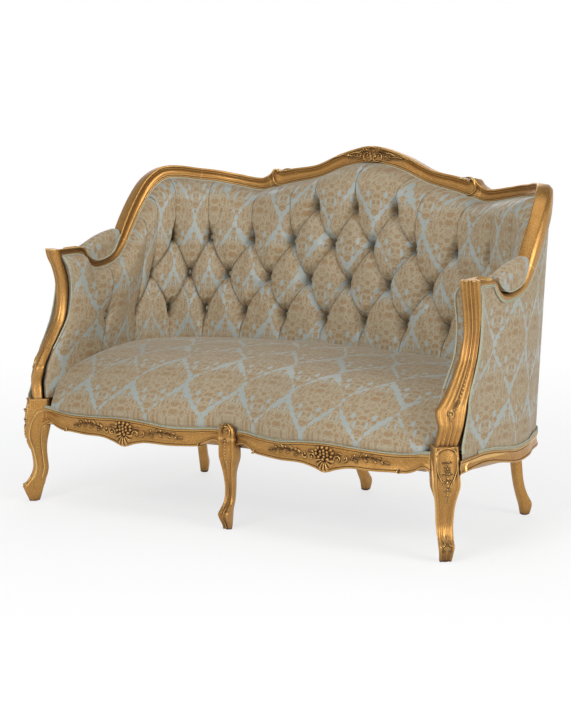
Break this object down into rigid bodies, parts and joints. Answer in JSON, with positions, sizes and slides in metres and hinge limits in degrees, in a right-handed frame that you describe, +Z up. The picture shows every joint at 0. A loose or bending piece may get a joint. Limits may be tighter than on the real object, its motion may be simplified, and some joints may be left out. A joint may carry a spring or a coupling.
{
  "type": "sofa",
  "caption": "Cabriole sofa with a carved gilded show-wood frame, a deep-buttoned wrap-round back, padded arm rests and a tight crowned seat on splayed and cabriole legs.",
  "frame": {"origin": "on the floor, in the middle of the part's outline", "axes": "+X along the sofa to the sitter's left hand, -Y the way the sitter faces, +Z up"},
  "size_m": [1.534, 0.8253, 1.046],
  "materials": {
    "gilt_wood": "carved wood with antique gold leaf, darkened in the recesses",
    "frame_wood": "plain planed beech",
    "damask": "woven sateen damask, pale blue ground with a beige figure",
    "webbing": "woven jute webbing",
    "hessian": "plain hessian",
    "lining": "black cotton lining",
    "glide": "matt nylon"
  },
  "bodies": {
    "root": {"crest_rail_centre": "gilt_wood", "top_rail_left": "gilt_wood", "top_rail_right": "gilt_wood", "corner_rail_left": "gilt_wood", "corner_rail_right": "gilt_wood", "arm_rail_left": "gilt_wood", "arm_rail_right": "gilt_wood", "arm_post_left": "gilt_wood", "arm_post_right": "gilt_wood", "front_leg_left": "gilt_wood", "front_leg_centre": "gilt_wood", "front_leg_right": "gilt_wood", "rear_leg_left": "gilt_wood", "rear_leg_centre": "gilt_wood", "rear_leg_right": "gilt_wood", "front_rail_left": "gilt_wood", "front_rail_right": "gilt_wood", "side_rail_left": "gilt_wood", "side_rail_right": "gilt_wood", "back_rail_left": "frame_wood", "back_rail_right": "frame_wood", "cross_rail": "frame_wood", "front_corner_blocks": "frame_wood", "rear_corner_blocks": "frame_wood", "back_tack_boards": "frame_wood", "arm_tack_boards": "frame_wood", "webbing_long": "webbing", "webbing_cross": "webbing", "seat_hessian": "hessian", "dust_cover": "lining", "seat": "damask", "inside_back": "damask", "inside_arm_left": "damask", "inside_arm_right": "damask", "back_buttons": "damask", "arm_pad_left": "damask", "arm_pad_right": "damask", "outside_back": "damask", "outside_arm_left": "damask", "outside_arm_right": "damask", "foot_glides": "glide"}
  },
  "joints": []
}
